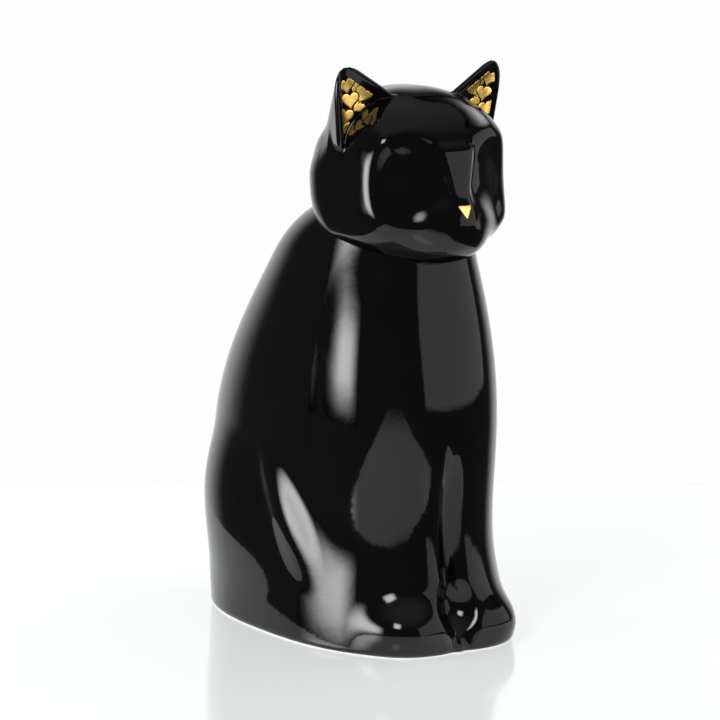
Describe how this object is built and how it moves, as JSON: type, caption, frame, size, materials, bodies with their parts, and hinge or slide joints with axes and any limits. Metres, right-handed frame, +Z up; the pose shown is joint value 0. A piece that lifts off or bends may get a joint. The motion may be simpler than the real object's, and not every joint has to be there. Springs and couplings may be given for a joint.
{
  "type": "ceramic cat figurine",
  "caption": "Sitting cat figurine in glossy black ceramic, hollow, with gilded heart inlays in the ears, a gilded nose and a stoppered filler hole in the base.",
  "frame": {"origin": "under the middle of the figure, on the surface it stands on", "axes": "+Z up; the cat faces -Y, and its right side is -X"},
  "size_m": [0.1035, 0.173, 0.2474],
  "materials": {
    "black_glaze": "high gloss black glaze",
    "gold_lustre": "fired gold lustre, softly brushed",
    "bare_ceramic": "unglazed, matt",
    "stopper_rubber": "matt moulded rubber"
  },
  "bodies": {
    "figurine": {"body_casting": "black_glaze", "head_casting": "black_glaze", "base_plate": "bare_ceramic", "nose_gilding": "gold_lustre", "left_ear_heart_top": "gold_lustre", "left_ear_heart_crown": "gold_lustre", "left_ear_heart_middle": "gold_lustre", "left_ear_heart_upper": "gold_lustre", "left_ear_heart_rim": "gold_lustre", "left_ear_heart_inner": "gold_lustre", "left_ear_heart_lower": "gold_lustre", "left_ear_heart_bottom": "gold_lustre", "right_ear_heart_top": "gold_lustre", "right_ear_heart_crown": "gold_lustre", "right_ear_heart_middle": "gold_lustre", "right_ear_heart_upper": "gold_lustre", "right_ear_heart_rim": "gold_lustre", "right_ear_heart_inner": "gold_lustre", "right_ear_heart_lower": "gold_lustre", "right_ear_heart_bottom": "gold_lustre"},
    "stopper": {"filler_stopper": "stopper_rubber"}
  },
  "joints": [
    {"name": "stopper_pull", "type": "slide", "parent": "figurine", "child": "stopper", "axis": [0, 0, -1], "range_m": [0, 0.016]}
  ]
}
